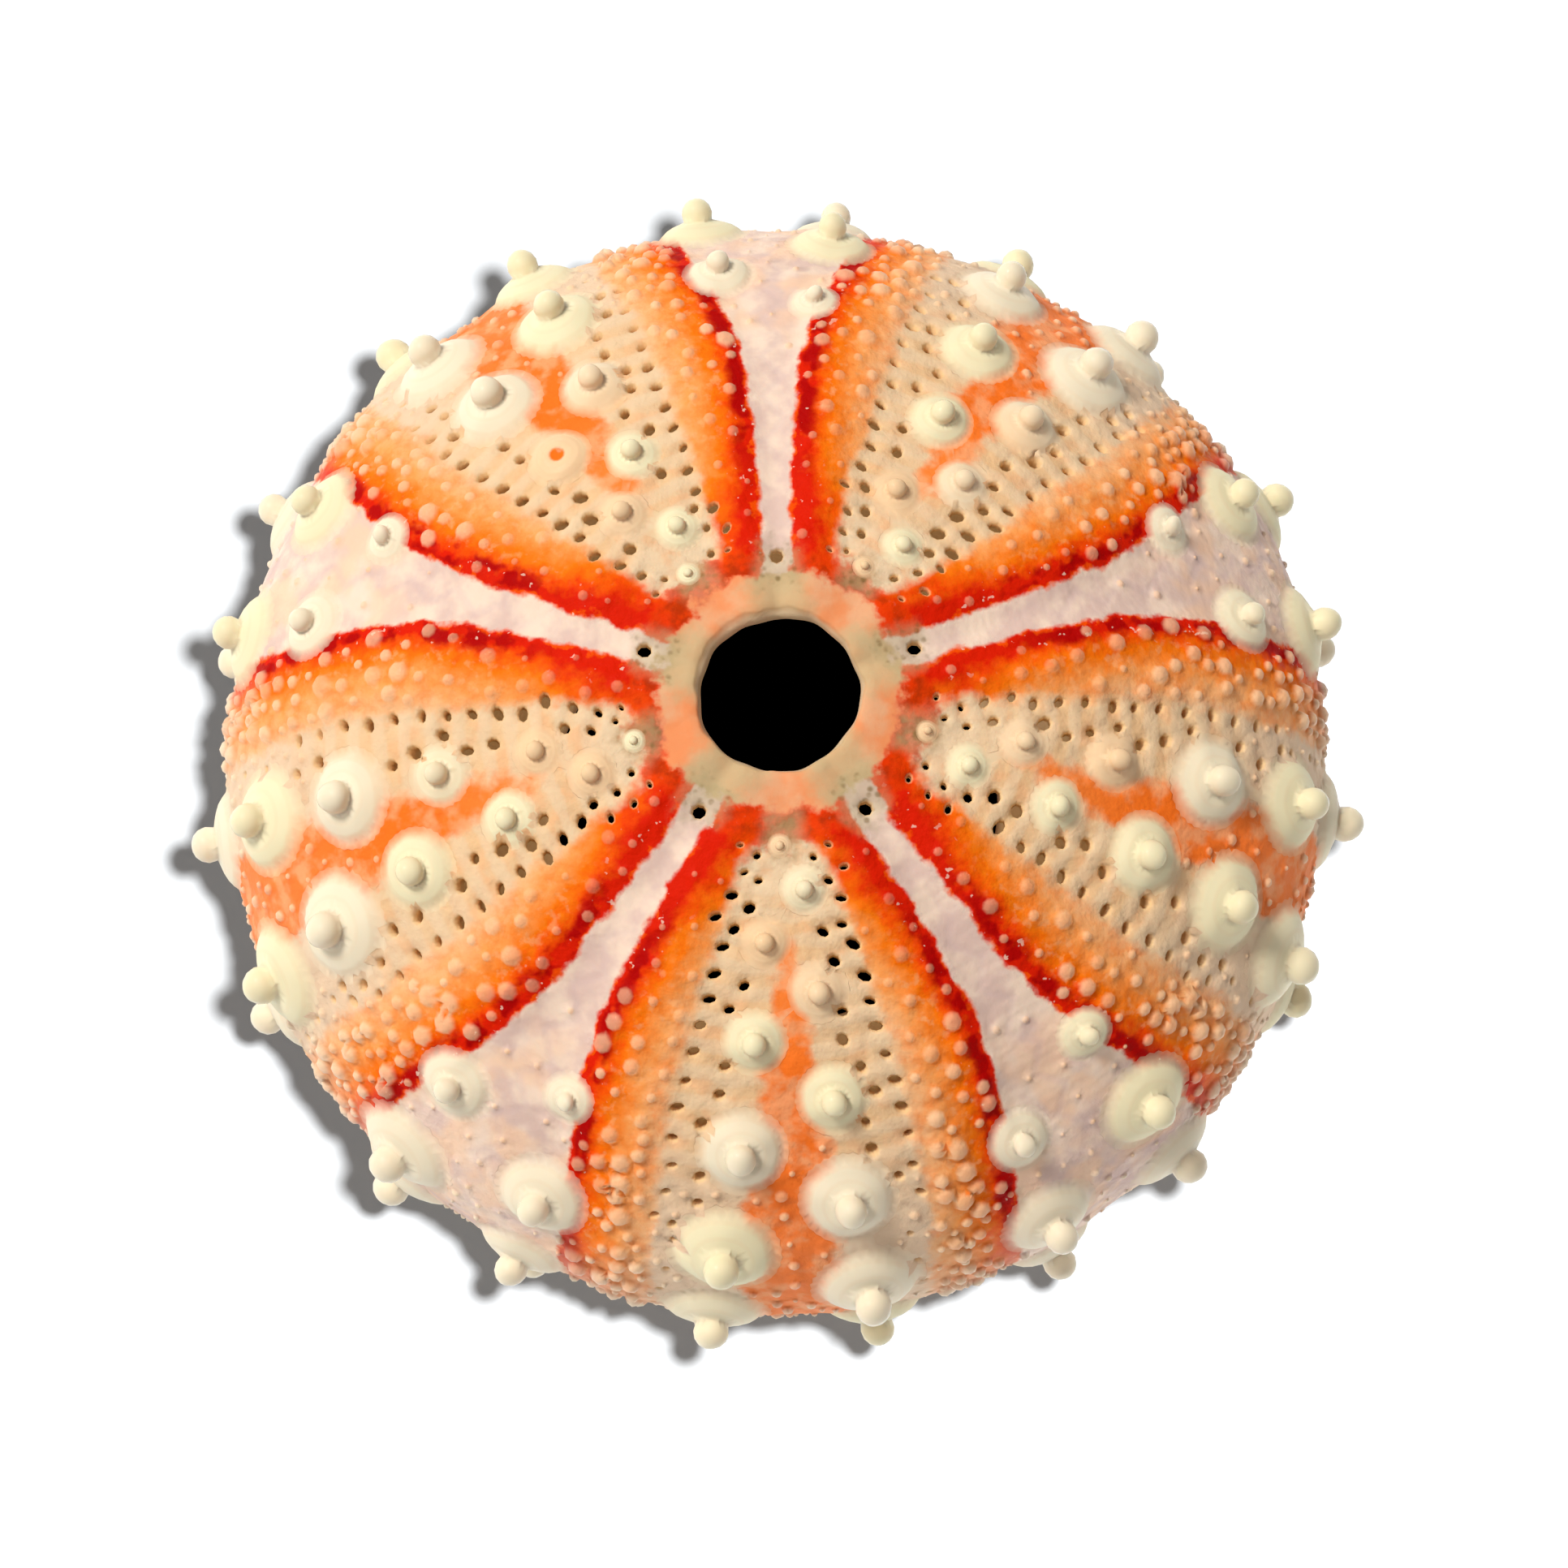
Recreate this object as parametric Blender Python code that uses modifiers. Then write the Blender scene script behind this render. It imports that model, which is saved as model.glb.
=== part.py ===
"""Sea urchin test: the hollow, fused shell of a regular sea urchin.

Units are metres, +Z is up. The growth axis of the shell is the Z axis, the mouth is underneath, and the
origin is the middle of the plane that the shell rests on. One interambulacrum points along +Y.

The plates of the shell are fused by nature, so the whole shell is one node.
"""

import math

import bmesh
import bpy
from mathutils import Matrix, Vector

MM = 0.001

# Driving dimensions of the shell
AMBITUS_RADIUS = 20.0 * MM          # widest radius of the bare shell
APEX_RISE = 11.0 * MM               # height of the apex over the widest level
MOUTH_DROP = 9.0 * MM               # depth of the lowest shell ring under the widest level
CROWN_POWER = 0.857                 # below 1 the crown is flatter than an ellipse
LOW_RING_RADIUS = 12.4 * MM         # radius of the lowest shell ring
MOUTH_RADIUS = 8.8 * MM             # radius of the open mouth
MOUTH_LIFT = 0.5 * MM               # rise of the mouth's edge over the lowest ring
APICAL_HOLE_RADIUS = 2.6 * MM       # radius of the open hole at the apex
WALL = 0.9 * MM                     # thickness of the shell
STAND = 0.70 * MM                   # gap under the lowest shell ring, bridged by worn tubercles

# Resolution of the turned shell
SHELL_SEGMENTS = 30
CROWN_RINGS = 8
SIDE_RINGS = 5

# Five ambulacra, and the five interambulacra between them
RAYS = 5
RAY_STEP = 2.0 * math.pi / RAYS
FIRST_AMBULACRUM = math.radians(54.0)
# The side of each ray whose column of tubercles starts nearer the apex
LEADING_SIDES = (-1, -1, 1, 1, -1)
INTER_LEADING_SIDES = (-1, -1, 1, 1, 1)

# Rows of primary tubercles, as distances along the shell's outer curve from the apex
AMBULACRAL_START = 6.6 * MM
INTERAMBULACRAL_START = 15.2 * MM
ROW_END = 38.6 * MM
START_GAP = 1.57 * MM               # step from a tubercle to the next, which is in the other column
GAP_GROWTH = 0.045                  # growth of that step per distance from the apex
ORAL_GAP = 1.25 * MM                # the same step at the mouth's end of a row

# Half the angle between the two columns of a ray
APICAL_HALF_ANGLE = math.radians(3.4)
AMBITAL_HALF_ANGLE = math.radians(8.6)
INTER_START_HALF_ANGLE = math.radians(6.0)
INTER_AMBITAL_HALF_ANGLE = math.radians(7.6)
INTER_SPREAD = 4.0 * MM             # distance over which the columns of an interambulacrum part
ORAL_HALF_ANGLE = math.radians(9.0)

# One primary tubercle, as shares of its base diameter
SMALL_BASE = 1.55 * MM              # base diameter of the first ambulacral tubercle
LARGE_BASE = 3.8 * MM               # base diameter at the widest level
ORAL_BASE = 2.2 * MM                # base diameter beside the mouth
INTER_YOUNG_SHARES = (0.60, 0.72, 0.88)  # size of an interambulacrum's first tubercles for their place
TUBERCLE_SINK = 0.45 * MM           # depth of the base under the shell's surface
TUBERCLE_SIDES = 6
NECK_HEIGHT = 0.22
NECK_RADIUS = 0.17
MAMELON_HEIGHT = 0.30
MAMELON_RADIUS = 0.19
TOP_HEIGHT = 0.42

# Gonopores: one hole through the shell at the top of each interambulacrum
GONOPORE_DISTANCE = 4.7 * MM
GONOPORE_RADIUS = 0.24 * MM
GONOPORE_SIDES = 8

MERGE = 0.00001
SHELL_COLOUR = (0.83, 0.60, 0.47, 1.0)
SHELL_ROUGHNESS = 0.55


def crown_point(angle):
    """Outer radius and height over the widest level, at an angle from the axis up to 90 degrees."""
    height = APEX_RISE * max(math.cos(angle), 0.0) ** CROWN_POWER
    return AMBITUS_RADIUS * math.sin(angle), height


def side_point(angle):
    """The same below the widest level, where 90 degrees is the lowest ring and 180 the mouth's edge."""
    if angle <= math.pi / 2.0:
        radius = LOW_RING_RADIUS + (AMBITUS_RADIUS - LOW_RING_RADIUS) * math.cos(angle)
        return radius, -MOUTH_DROP * math.sin(angle)
    share = angle / (math.pi / 2.0) - 1.0
    radius = LOW_RING_RADIUS + (MOUTH_RADIUS - LOW_RING_RADIUS) * share
    return radius, -MOUTH_DROP + MOUTH_LIFT * share * share


def outline(crown_rings, side_rings):
    """The outer profile as (radius, height) pairs from the apical hole down to the mouth's edge."""
    start = math.asin(APICAL_HOLE_RADIUS / AMBITUS_RADIUS)
    points = []
    for ring in range(crown_rings):
        points.append(crown_point(start + (math.pi / 2.0 - start) * ring / crown_rings))
    for ring in range(side_rings + 1):
        points.append(side_point(math.pi / 2.0 * ring / side_rings))
    points.append(side_point(math.pi))
    return points


class Meridian:
    """The fine outer profile, read by its arc length from the apex."""

    def __init__(self, steps=400):
        fine = [crown_point(math.pi / 2.0 * step / steps) for step in range(steps)]
        fine += [side_point(math.pi * step / steps) for step in range(steps + 1)]
        self.points = [Vector(point) for point in fine]
        self.lengths = [0.0]
        for before, after in zip(self.points, self.points[1:]):
            self.lengths.append(self.lengths[-1] + (after - before).length)
        self.ambitus = self.lengths[steps]

    def at(self, distance):
        """Point and outward normal in the (radius, height) plane."""
        index = next(i for i, length in enumerate(self.lengths) if length >= distance)
        index = max(index, 1)
        before, after = self.points[index - 1], self.points[index]
        share = (distance - self.lengths[index - 1]) / (self.lengths[index] - self.lengths[index - 1])
        along = (after - before).normalized()
        return before.lerp(after, share), Vector((-along.y, along.x))


def blend(share, low, high):
    return low + (high - low) * min(max(share, 0.0), 1.0)


def tubercle_distances(start, meridian):
    """Arc lengths of one ray's tubercles: its two columns take turns."""
    distances = []
    distance = start
    while distance < ROW_END:
        distances.append(distance)
        gap = START_GAP + GAP_GROWTH * (min(distance, meridian.ambitus) - AMBULACRAL_START)
        if distance > meridian.ambitus:
            share = (distance - meridian.ambitus) / (ROW_END - meridian.ambitus)
            gap = blend(share, gap, ORAL_GAP)
        distance += gap
    return distances


def base_diameter(distance, meridian):
    """Tubercles grow from the apex to the widest level, and shrink again towards the mouth."""
    if distance <= meridian.ambitus:
        share = (distance - AMBULACRAL_START) / (meridian.ambitus - AMBULACRAL_START)
        return blend(share, SMALL_BASE, LARGE_BASE)
    share = (distance - meridian.ambitus) / (ROW_END - meridian.ambitus)
    return blend(share, LARGE_BASE, ORAL_BASE)


def half_angle(distance, meridian, ambulacral):
    """Angle from a ray's middle line to either of its columns."""
    if distance > meridian.ambitus:
        share = (distance - meridian.ambitus) / (ROW_END - meridian.ambitus)
        start = AMBITAL_HALF_ANGLE if ambulacral else INTER_AMBITAL_HALF_ANGLE
        return blend(share, start, ORAL_HALF_ANGLE)
    if ambulacral:
        return blend(distance / meridian.ambitus, APICAL_HALF_ANGLE, AMBITAL_HALF_ANGLE)
    share = (distance - INTERAMBULACRAL_START) / INTER_SPREAD
    return blend(share, INTER_START_HALF_ANGLE, INTER_AMBITAL_HALF_ANGLE)


def add_mesh_object(name, mesh, collection):
    thing = bpy.data.objects.new(name, mesh)
    collection.objects.link(thing)
    return thing


def mesh_from_profile(name, points):
    """An open chain of edges in the XZ plane, ready for a Screw modifier."""
    mesh = bpy.data.meshes.new(name)
    edges = [(index, index + 1) for index in range(len(points) - 1)]
    mesh.from_pydata([(radius, 0.0, height) for radius, height in points], edges, [])
    return mesh


def add_screw(thing, segments):
    screw = thing.modifiers.new("Turn", "SCREW")
    screw.axis = "Z"
    screw.angle = 2.0 * math.pi
    screw.steps = segments
    screw.render_steps = segments
    screw.use_merge_vertices = True
    screw.merge_threshold = MERGE
    return screw


def make_shell(collection):
    """The bare shell: a turned sheet, thickened inwards."""
    level = MOUTH_DROP + STAND
    points = [(radius, height + level) for radius, height in outline(CROWN_RINGS, SIDE_RINGS)]
    shell = add_mesh_object("sea_urchin_test", mesh_from_profile("sea_urchin_test", points), collection)
    add_screw(shell, SHELL_SEGMENTS)
    solidify = shell.modifiers.new("Wall", "SOLIDIFY")
    solidify.thickness = WALL
    solidify.offset = -1.0
    solidify.use_even_offset = True
    return shell


def make_unit_tubercle(collection):
    """One turned tubercle of base diameter 1: a conical boss and a knob, on a plug below the surface."""
    points = [
        (0.0, TOP_HEIGHT),
        (MAMELON_RADIUS, MAMELON_HEIGHT),
        (NECK_RADIUS, NECK_HEIGHT),
        (0.5, 0.0),
        (0.5, -1.0),
        (0.0, -1.0),
    ]
    guide = add_mesh_object("tubercle_guide", mesh_from_profile("tubercle_guide", points), collection)
    add_screw(guide, TUBERCLE_SIDES)
    bpy.context.view_layer.update()
    evaluated = guide.evaluated_get(bpy.context.evaluated_depsgraph_get())
    mesh = bpy.data.meshes.new_from_object(evaluated)
    bpy.data.objects.remove(guide)
    return mesh


def surface_frame(meridian, distance, azimuth):
    """A matrix whose Z axis leaves the shell squarely at an arc length and azimuth."""
    point, normal = meridian.at(distance)
    turn = Matrix.Rotation(azimuth, 3, "Z")
    place = turn @ Vector((point.x, 0.0, point.y + MOUTH_DROP + STAND))
    outward = turn @ Vector((normal.x, 0.0, normal.y))
    sideways = turn @ Vector((0.0, 1.0, 0.0))
    along = sideways.cross(outward)
    frame = Matrix((along, sideways, outward)).transposed().to_4x4()
    frame.translation = place
    return frame


def ray_places(meridian, middle, side, ambulacral):
    """One ray's tubercles, which go to its two columns in turn."""
    start = AMBULACRAL_START if ambulacral else INTERAMBULACRAL_START
    places = []
    for step, distance in enumerate(tubercle_distances(start, meridian)):
        azimuth = middle + side * half_angle(distance, meridian, ambulacral)
        diameter = base_diameter(distance, meridian)
        if not ambulacral and step < len(INTER_YOUNG_SHARES):
            diameter *= INTER_YOUNG_SHARES[step]
        places.append((distance, azimuth, diameter))
        side = -side
    return places


def tubercle_places(meridian):
    """Every primary tubercle as (distance, azimuth, base diameter)."""
    places = []
    for ray in range(RAYS):
        middle = FIRST_AMBULACRUM + ray * RAY_STEP
        places += ray_places(meridian, middle, LEADING_SIDES[ray], True)
        places += ray_places(meridian, middle + RAY_STEP / 2.0, INTER_LEADING_SIDES[ray], False)
    return places


def make_tubercles(meridian, collection):
    """All primary tubercles in one cutter object, each a closed body clear of its neighbours."""
    unit = make_unit_tubercle(collection)
    joined = bmesh.new()
    for distance, azimuth, diameter in tubercle_places(meridian):
        start = len(joined.verts)
        joined.from_mesh(unit)
        joined.verts.ensure_lookup_table()
        frame = surface_frame(meridian, distance, azimuth)
        for vertex in joined.verts[start:]:
            below = vertex.co.z < 0.0
            local = vertex.co * diameter
            if below:
                local.z = -TUBERCLE_SINK
            vertex.co = frame @ local
    mesh = bpy.data.meshes.new("tubercles")
    joined.to_mesh(mesh)
    joined.free()
    return add_mesh_object("tubercles", mesh, collection)


def make_gonopore_cutters(meridian, collection):
    """Five short rods through the wall, one above each interambulacrum."""
    joined = bmesh.new()
    for ray in range(RAYS):
        azimuth = FIRST_AMBULACRUM + (ray + 0.5) * RAY_STEP
        bmesh.ops.create_cone(
            joined,
            cap_ends=True,
            segments=GONOPORE_SIDES,
            radius1=GONOPORE_RADIUS,
            radius2=GONOPORE_RADIUS,
            depth=4.0 * WALL,
            matrix=surface_frame(meridian, GONOPORE_DISTANCE, azimuth),
        )
    mesh = bpy.data.meshes.new("gonopore_cutters")
    joined.to_mesh(mesh)
    joined.free()
    return add_mesh_object("gonopore_cutters", mesh, collection)


def make_rest_cutter(collection):
    """A block under the plane Z = 0, which trims the lowest tubercles to the worn flats they rest on."""
    depth = 4.0 * MM
    width = 3.0 * AMBITUS_RADIUS
    block = bmesh.new()
    bmesh.ops.create_cube(block, size=1.0)
    bmesh.ops.scale(block, vec=(width, width, depth), verts=block.verts)
    bmesh.ops.translate(block, vec=(0.0, 0.0, -depth / 2.0), verts=block.verts)
    mesh = bpy.data.meshes.new("rest_cutter")
    block.to_mesh(mesh)
    block.free()
    return add_mesh_object("rest_cutter", mesh, collection)


def add_boolean(thing, tool, operation):
    boolean = thing.modifiers.new(tool.name, "BOOLEAN")
    boolean.operation = operation
    boolean.object = tool
    boolean.solver = "EXACT"
    tool.hide_render = True
    tool.display_type = "WIRE"


def shell_material():
    material = bpy.data.materials.new("calcite")
    material.use_nodes = True
    shader = material.node_tree.nodes["Principled BSDF"]
    shader.inputs["Base Color"].default_value = SHELL_COLOUR
    shader.inputs["Roughness"].default_value = SHELL_ROUGHNESS
    shader.inputs["Metallic"].default_value = 0.0
    return material


def main():
    for thing in list(bpy.data.objects):
        bpy.data.objects.remove(thing)
    parts = bpy.data.collections.new("sea_urchin_shell")
    cutters = bpy.data.collections.new("cutters")
    bpy.context.scene.collection.children.link(parts)
    bpy.context.scene.collection.children.link(cutters)

    meridian = Meridian()
    shell = make_shell(parts)
    add_boolean(shell, make_tubercles(meridian, cutters), "UNION")
    add_boolean(shell, make_gonopore_cutters(meridian, cutters), "DIFFERENCE")
    add_boolean(shell, make_rest_cutter(cutters), "DIFFERENCE")
    shell.data.materials.append(shell_material())
    shell.data.shade_smooth()


main()
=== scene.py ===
"""Looks of the sea urchin shell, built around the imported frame.

The shell is made in millimetres and degrees in its own coordinates: the distance along the outer curve from
the apex, and the azimuth. One closed mesh carries the outer surface with its knobs, granules and pores, the
inner surface, and the walls of every opening between the two.
"""
import functools
import math

import bpy
import numpy as np
from mathutils import Matrix, Vector
from mathutils.geometry import delaunay_2d_cdt
from mathutils.kdtree import KDTree


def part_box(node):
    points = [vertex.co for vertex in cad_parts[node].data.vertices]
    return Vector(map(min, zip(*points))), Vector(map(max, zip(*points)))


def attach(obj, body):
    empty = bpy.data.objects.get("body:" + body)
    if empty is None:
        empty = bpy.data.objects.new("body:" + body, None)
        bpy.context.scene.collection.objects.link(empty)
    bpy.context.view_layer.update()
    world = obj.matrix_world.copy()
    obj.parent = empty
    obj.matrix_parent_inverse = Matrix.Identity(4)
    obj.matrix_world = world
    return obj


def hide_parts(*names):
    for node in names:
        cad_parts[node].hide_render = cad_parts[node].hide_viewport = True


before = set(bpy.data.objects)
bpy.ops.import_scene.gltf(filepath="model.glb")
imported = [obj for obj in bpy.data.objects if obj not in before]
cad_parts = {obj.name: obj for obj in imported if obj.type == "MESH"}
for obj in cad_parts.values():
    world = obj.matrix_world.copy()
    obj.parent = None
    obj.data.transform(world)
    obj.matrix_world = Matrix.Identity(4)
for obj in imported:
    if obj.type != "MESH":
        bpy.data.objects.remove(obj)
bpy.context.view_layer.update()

NODE = "sea_urchin_test"
random = np.random.default_rng(7)

# Shell, in millimetres: the same outline as the CAD solid
AMBITUS_RADIUS = 20.0
APEX_RISE = 11.0
MOUTH_DROP = 9.0
CROWN_POWER = 0.857
LOW_RING_RADIUS = 12.4
MOUTH_RADIUS = 8.8
MOUTH_LIFT = 0.5
STAND = 0.7
WALL = 0.9
APICAL_HOLE = 2.6
BOX_HEIGHT = 20.82
lowest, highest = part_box(NODE)
UNIT = (highest[2] - lowest[2]) / BOX_HEIGHT
FLAT_MAP_START = 1.0                # inside the apical hole

# Rays, in degrees; the side on which each ray's first knob lies
RAYS = 5
RAY_STEP = 72.0
HALF_STEP = 36.0
FIRST_AMBULACRUM = 54.0
FIRST_AXIS = 18.0
LEADING_SIDES = (-1, -1, 1, 1, -1)
INTER_LEADING_SIDES = (-1, -1, 1, 1, 1)
# How far each of the ten ray axes strays from an even tenth of a turn
RAY_DRIFT = (0.2, 0.8, 0.0, -1.8, -1.6, -1.1, 0.9, 0.4, -1.2, 1.1)

# Outlines of the colour zones: degrees from the ambulacrum's axis against distance from the apex
NAKED_EDGE = (
    (3.2, 27.6), (4.8, 29.9), (6.0, 31.4), (8.0, 31.9), (12.0, 31.6), (14.0, 30.2),
    (16.0, 28.3), (18.0, 26.5), (20.5, 25.2), (25.0, 23.8), (42.0, 23.5),
)
PORE_EDGE = (
    (4.6, 9.0), (5.2, 13.5), (6.0, 15.6), (8.0, 16.9), (14.0, 17.2), (18.0, 15.8), (25.0, 14.4), (42.0, 14.0),
)
STRIP_WIDTH = (
    (7.5, 0.0), (8.5, 0.32), (10.0, 0.62), (12.0, 0.95), (14.5, 1.30), (18.0, 1.75),
    (22.0, 2.0), (26.0, 2.2), (42.0, 1.6),
)


def smooth(low, high, value):
    """0 up to low, 1 from high on, and a smooth rise between."""
    share = np.clip((value - low) / (high - low), 0.0, 1.0)
    return share * share * (3.0 - 2.0 * share)


def read(table, distance):
    """A table's value at a distance from the apex."""
    places, values = zip(*table)
    return np.interp(distance, places, values)


class Meridian:
    """The shell's outer profile against its arc length from the apex."""

    def __init__(self, steps=1500):
        crown = np.linspace(0.0, math.pi / 2.0, steps)
        side = np.linspace(0.0, math.pi, 2 * steps)[1:]
        radius = AMBITUS_RADIUS * np.sin(crown)
        height = APEX_RISE * np.maximum(np.cos(crown), 0.0) ** CROWN_POWER
        share = np.maximum(side / (math.pi / 2.0) - 1.0, 0.0)
        round_part = side <= math.pi / 2.0
        low_radius = LOW_RING_RADIUS + (AMBITUS_RADIUS - LOW_RING_RADIUS) * np.cos(side)
        flat_radius = LOW_RING_RADIUS + (MOUTH_RADIUS - LOW_RING_RADIUS) * share
        low_height = -MOUTH_DROP * np.sin(side)
        flat_height = -MOUTH_DROP + MOUTH_LIFT * share * share
        self.radius = np.concatenate([radius, np.where(round_part, low_radius, flat_radius)])
        self.height = np.concatenate([height, np.where(round_part, low_height, flat_height)])
        across = np.diff(self.radius)
        down = np.diff(self.height)
        steps_long = np.hypot(across, down)
        self.length = np.concatenate([[0.0], np.cumsum(steps_long)])
        self.ambitus = self.length[steps - 1]
        self.end = self.length[-1]
        middle = (self.length[1:] + self.length[:-1]) / 2.0
        half_window = 30
        soft = np.ones(2 * half_window + 1) / (2.0 * half_window + 1.0)
        self.normal_at = middle
        self.normal_radius = np.convolve(np.pad(-down / steps_long, half_window, "edge"), soft, "valid")
        self.normal_height = np.convolve(np.pad(across / steps_long, half_window, "edge"), soft, "valid")
        start = np.searchsorted(self.length, FLAT_MAP_START)
        mean_radius = (self.radius[1:] + self.radius[:-1]) / 2.0
        spread = np.where(np.arange(len(middle)) < start, 0.0, steps_long / mean_radius)
        self.spread = np.concatenate([[0.0], np.cumsum(spread)])

    def radius_at(self, distance):
        return np.interp(distance, self.length, self.radius)

    def plane(self, distance, azimuth):
        """A flat map of the shell that keeps angles, so a good triangle there is a good one on the shell."""
        reach = np.exp(np.interp(distance, self.length, self.spread))
        turn = np.radians(azimuth)
        return np.stack([reach * np.cos(turn), reach * np.sin(turn)], axis=-1)

    def place(self, distance, azimuth, lift):
        """Points at a lift over the shell's surface, in millimetres from the middle of the widest level."""
        normal_radius = np.interp(distance, self.normal_at, self.normal_radius)
        normal_height = np.interp(distance, self.normal_at, self.normal_height)
        radius = np.interp(distance, self.length, self.radius) + lift * normal_radius
        height = np.interp(distance, self.length, self.height) + lift * normal_height
        knots = FIRST_AXIS + HALF_STEP * np.arange(-1, 12)
        drift = [RAY_DRIFT[(index - 1) % len(RAY_DRIFT)] for index in range(13)]
        turn = np.radians(azimuth + np.interp(np.mod(azimuth, 360.0), knots, drift))
        return np.stack([radius * np.cos(turn), radius * np.sin(turn), height], axis=-1)


shell = Meridian()


def inner_lift(distance):
    """The inner surface, below the outer one: the wall thins a little towards the apex."""
    return -WALL * (0.64 + 0.36 * smooth(8.0, 14.0, distance))


def upright_shift(distance):
    """How far down the shell a channel that runs upright, near the apex, meets the inner surface."""
    slope = math.atan2(
        float(np.interp(distance, shell.normal_at, shell.normal_radius)),
        float(np.interp(distance, shell.normal_at, shell.normal_height)),
    )
    upright = 1.0 - smooth(10.0, 13.0, distance)
    return -inner_lift(distance) * math.tan(min(slope, 0.5)) * upright


def fold(azimuth):
    """Signed degrees from the nearest ambulacrum's axis."""
    return np.mod(azimuth - FIRST_AMBULACRUM + HALF_STEP, RAY_STEP) - HALF_STEP


def arc(distance, degrees):
    """Millimetres along the shell's level circle."""
    return shell.radius_at(distance) * np.radians(degrees)


def wobble(points, size, seed, waves=14):
    """Smooth seeded noise of about unit size, whose bumps are about `size` millimetres across."""
    draw = np.random.default_rng(seed)
    ways = draw.normal(size=(waves, 3))
    ways /= np.linalg.norm(ways, axis=1, keepdims=True)
    pitch = 2.0 * math.pi / (size * draw.uniform(0.7, 1.6, waves))
    phase = draw.uniform(0.0, 2.0 * math.pi, waves)
    return np.sin(points @ (ways * pitch[:, None]).T + phase).sum(axis=1) / math.sqrt(waves / 2.0)


def pore_row(distance):
    """Which pore row a place is level with, as a number that grows by one from row to row."""
    growth = 0.022
    return np.log1p(0.0275 * (np.asarray(distance) - FIRST_PORES)) / growth


def relief(distance, azimuth):
    """Gentle relief of the outer surface: sunken naked wedges, raised granule bands, and unevenness."""
    off = np.abs(fold(azimuth))
    edge = arc(distance, read(NAKED_EDGE, distance) - off)
    pore = arc(distance, read(PORE_EDGE, distance) - off)
    crown = 1.0 - smooth(16.0, 22.0, distance)
    level = -0.14 * smooth(-0.1, 0.5, -edge) * crown
    level = level + 0.12 * smooth(0.0, 0.9, edge) * smooth(0.0, 0.9, -pore) * crown
    level = level - 0.05 * smooth(0.0, 0.5, pore) * crown
    rows = np.cos(2.0 * math.pi * pore_row(np.maximum(distance, 4.5)))
    level = level - 0.030 * rows * smooth(-0.2, 0.3, pore) * smooth(0.5, 0.9, arc(distance, off)) * crown
    base = shell.place(distance, azimuth, 0.0)
    level = level + 0.05 * wobble(base, 5.0, 3) + 0.018 * wobble(base, 1.5, 4)
    return level


# ---- Tubercles ----

ROW_START = 5.1
INTER_ROW_START = 15.2
ROW_END = 40.0
# Base diameters at three distances: near the apex, at the widest level, and near the mouth
SMALL_BASE, SMALL_AT = 1.55, 6.6
LARGE_BASE = 3.8
ORAL_BASE, ORAL_AT = 2.2, 38.6
FIRST_KNOB = (0.75, 1.2)            # size and half angle
INTER_SIZES = (0.60, 0.72, 0.88, 0.95)
# Share by which a knob is wider than its base diameter, against distance
AREOLE = (
    (5.0, 1.07), (9.0, 1.08), (11.5, 1.08), (13.3, 1.16),
    (15.2, 1.30), (18.0, 1.34), (25.0, 1.14), (42.0, 1.0),
)
# Turned profile of a knob, from its rim to its top: radius and lift as shares of the base diameter
BOSS = (
    (0.50, 0.004), (0.484, 0.014), (0.462, 0.002), (0.436, 0.002), (0.405, 0.020), (0.374, 0.052),
    (0.322, 0.086), (0.255, 0.113), (0.195, 0.129),
)
BALL_RADIUS = 0.150
NECK_LIFT = 0.137
BALL_ANGLES = (-24.0, 4.0, 30.0, 54.0, 74.0)
WORN_TOP = ((0.11, 0.100), (0.06, 0.086))
BIG_KNOB = 2.4


def half_angle(distance, ambulacral):
    """Degrees from a ray's axis to either of its two columns of knobs."""
    ambitus = shell.ambitus
    if distance > ambitus:
        share = min((distance - ambitus) / (ROW_END - ambitus), 1.0)
        start = 8.6 if ambulacral else 7.4
        return start + (9.0 - start) * share
    if ambulacral:
        return 3.4 + (8.6 - 3.4) * distance / ambitus
    share = min(max((distance - INTER_ROW_START) / 4.0, 0.0), 1.0)
    return 6.0 + (7.6 - 6.0) * share


def base_diameter(distance):
    if distance <= shell.ambitus:
        return SMALL_BASE + (LARGE_BASE - SMALL_BASE) * (distance - SMALL_AT) / (shell.ambitus - SMALL_AT)
    share = (distance - shell.ambitus) / (ORAL_AT - shell.ambitus)
    return LARGE_BASE + (ORAL_BASE - LARGE_BASE) * min(share, 1.1)


def row(start):
    """Distances of the knobs of one ray, whose gaps grow to the widest level and shrink below it."""
    first_gap, growth, last_gap = 1.5, 0.045, 1.25
    distance = start
    distances = []
    while distance < ROW_END:
        distances.append(distance)
        gap = first_gap + growth * (min(distance, shell.ambitus) - ROW_START)
        if distance > shell.ambitus:
            gap += (last_gap - gap) * (distance - shell.ambitus) / (ORAL_AT - shell.ambitus)
        distance += gap
    return distances


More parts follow.
